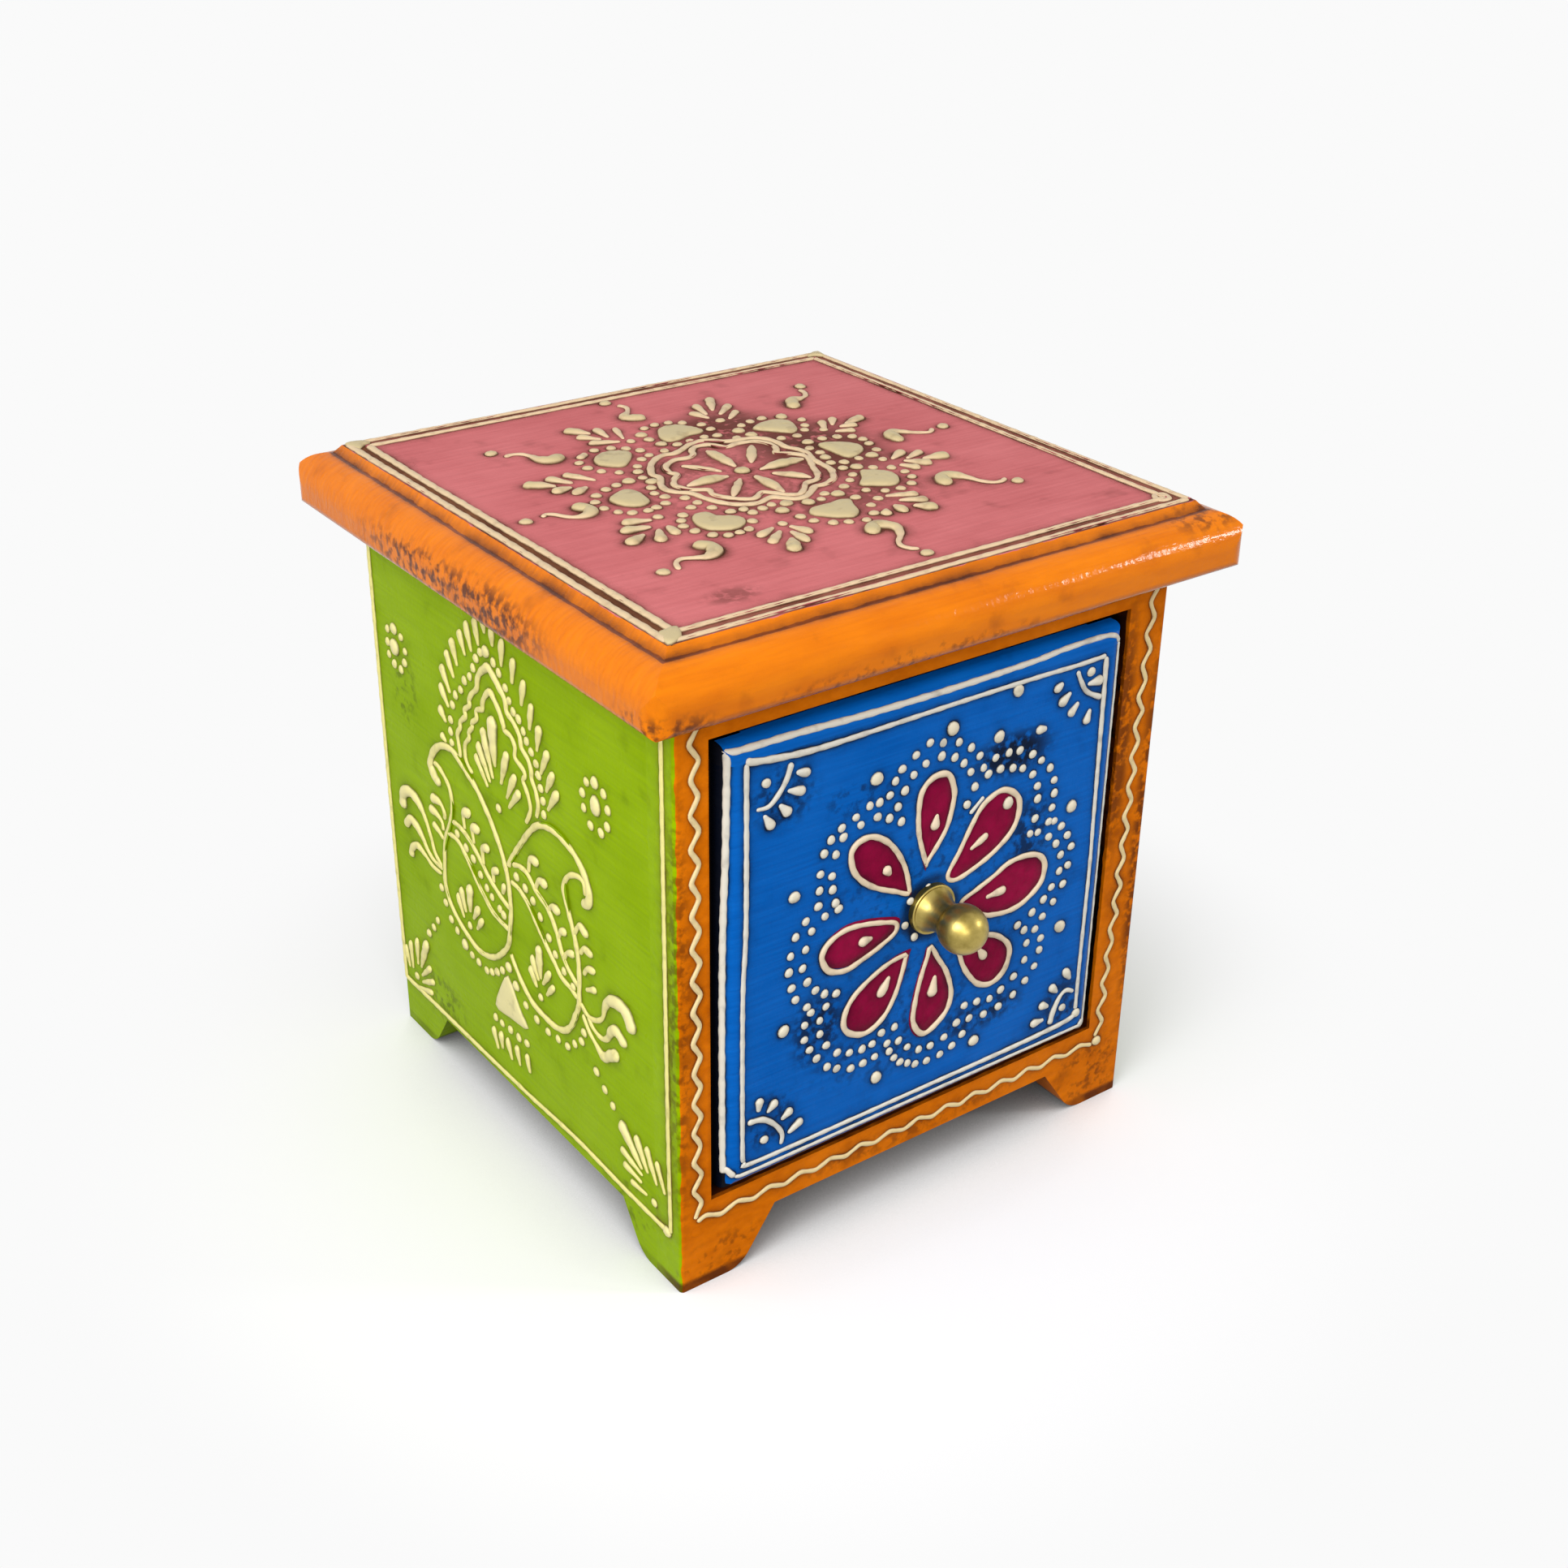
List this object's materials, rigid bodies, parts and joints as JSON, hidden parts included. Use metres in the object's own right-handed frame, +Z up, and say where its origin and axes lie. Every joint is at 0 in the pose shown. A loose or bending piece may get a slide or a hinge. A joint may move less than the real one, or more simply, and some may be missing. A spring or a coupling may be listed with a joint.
{
  "type": "wooden drawer box",
  "caption": "Small painted wooden box on bracket feet with a moulded top and one sliding drawer with a turned brass knob, for small craft parts or keepsakes.",
  "frame": {"origin": "on the floor, under the middle of the whole object with its knob", "axes": "+Z up, -Y the way the drawer faces and opens, +X to the right seen from the front"},
  "size_m": [0.127, 0.1332, 0.1295],
  "materials": {
    "top_paint": "pink and orange paint on wood, antiqued and varnished",
    "side_paint": "lime green paint on wood, antiqued and varnished",
    "frame_paint": "orange paint on wood, antiqued and varnished",
    "drawer_paint": "blue paint on wood, antiqued and varnished",
    "drawer_box_paint": "flat black paint on wood",
    "top_pin_paint": "steel pin painted over with the top",
    "side_pin_paint": "steel pin painted over with the sides",
    "frame_pin_paint": "steel pin painted over with the front frame",
    "knob_brass": "aged brass, polished on the ball",
    "steel": "bright steel"
  },
  "bodies": {
    "carcass": {"top_board": "top_paint", "left_side": "side_paint", "right_side": "side_paint", "back_panel": "side_paint", "bottom_board": "frame_paint", "left_stile": "frame_paint", "right_stile": "frame_paint", "top_rail": "frame_paint", "front_apron": "frame_paint", "top_pins": "top_pin_paint", "left_side_pins": "side_pin_paint", "right_side_pins": "side_pin_paint", "back_pins": "side_pin_paint", "front_frame_pins": "frame_pin_paint"},
    "drawer": {"drawer_front": "drawer_paint", "drawer_left_side": "drawer_box_paint", "drawer_right_side": "drawer_box_paint", "drawer_back": "drawer_box_paint", "drawer_bottom": "drawer_box_paint", "knob": "knob_brass", "knob_screw": "steel", "knob_washer": "steel", "drawer_side_pins": "steel", "drawer_bottom_pins": "steel"}
  },
  "joints": [
    {"name": "drawer_slide", "type": "slide", "parent": "carcass", "child": "drawer", "axis": [0, -1, 0], "range_m": [0, 0.08]}
  ]
}
